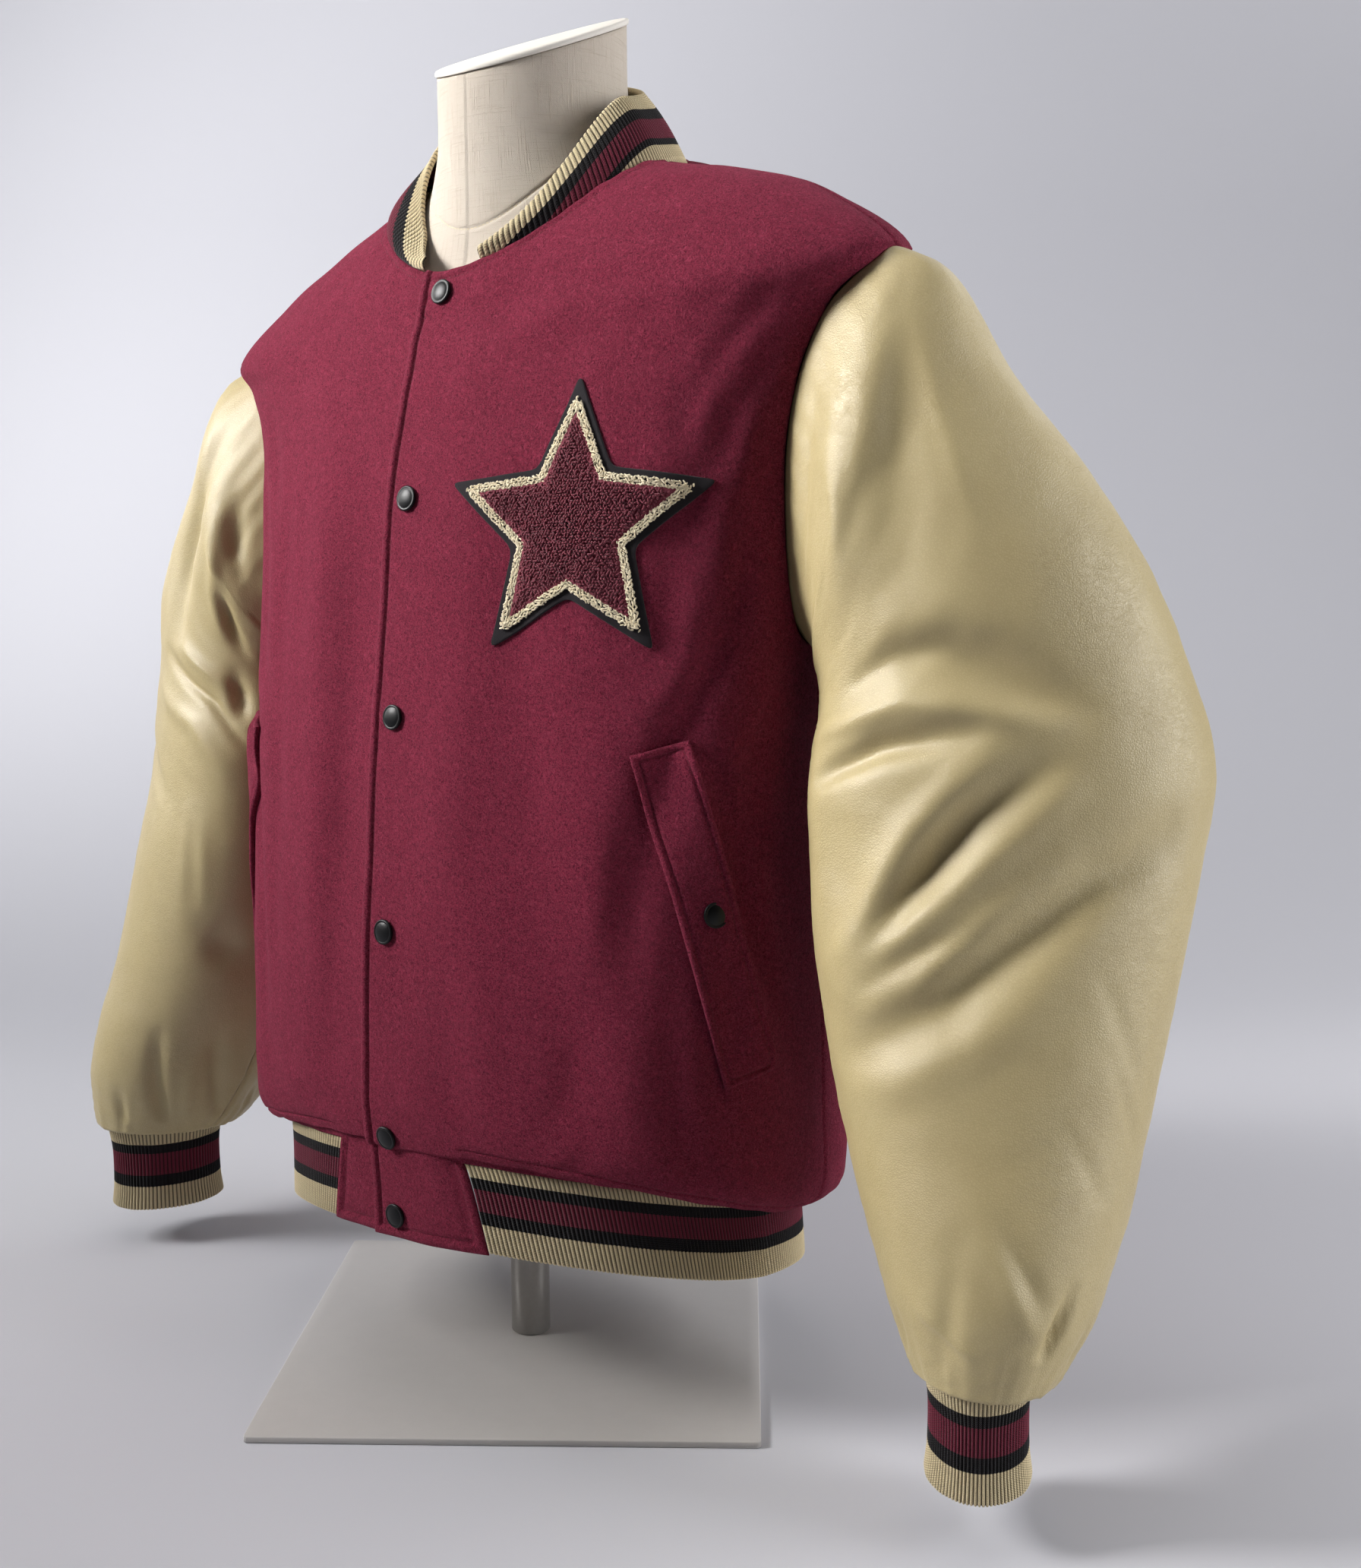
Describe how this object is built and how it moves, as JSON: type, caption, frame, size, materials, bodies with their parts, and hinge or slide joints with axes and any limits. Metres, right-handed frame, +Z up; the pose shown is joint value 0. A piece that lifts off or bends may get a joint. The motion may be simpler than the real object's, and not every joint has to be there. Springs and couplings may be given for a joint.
{
  "type": "varsity jacket on a limbless dress form with stand",
  "caption": "Wool-bodied, leather-sleeved varsity jacket with striped rib collar, cuffs and waistband and a star patch, worn on a limbless dress form on a pole and square base.",
  "frame": {"origin": "on the pole's axis, at the underside of the base plate", "axes": "+Z up, the jacket's front towards -Y, the wearer's left towards +X"},
  "size_m": [0.8502, 0.4254, 0.857],
  "materials": {
    "wool": "napped wool melton, matte",
    "leather": "smooth cowhide, satin",
    "rib": "striped rib knit in cream, black and burgundy",
    "snap_metal": "semi-gloss black",
    "felt": "matte felt",
    "chenille": "looped chenille",
    "cord": "looped cord",
    "linen": "plain natural linen",
    "cap": "satin pale cap",
    "steel": "satin light grey"
  },
  "bodies": {
    "root": {"front_left": "wool", "front_right": "wool", "back": "wool", "waistband": "rib", "collar": "rib", "sleeve_left_front": "leather", "sleeve_left_back": "leather", "sleeve_right_front": "leather", "sleeve_right_back": "leather", "cuff_left": "rib", "cuff_right": "rib", "patch_felt": "felt", "patch_cord": "cord", "patch_chenille": "chenille", "welt_left": "wool", "welt_right": "wool", "snap_front_1": "snap_metal", "snap_front_2": "snap_metal", "snap_front_3": "snap_metal", "snap_front_4": "snap_metal", "snap_front_5": "snap_metal", "snap_front_6": "snap_metal", "snap_pocket_left": "snap_metal", "snap_pocket_right": "snap_metal", "form_torso": "linen", "form_neck_cap": "cap", "pole": "steel", "base_plate": "steel"}
  },
  "joints": []
}
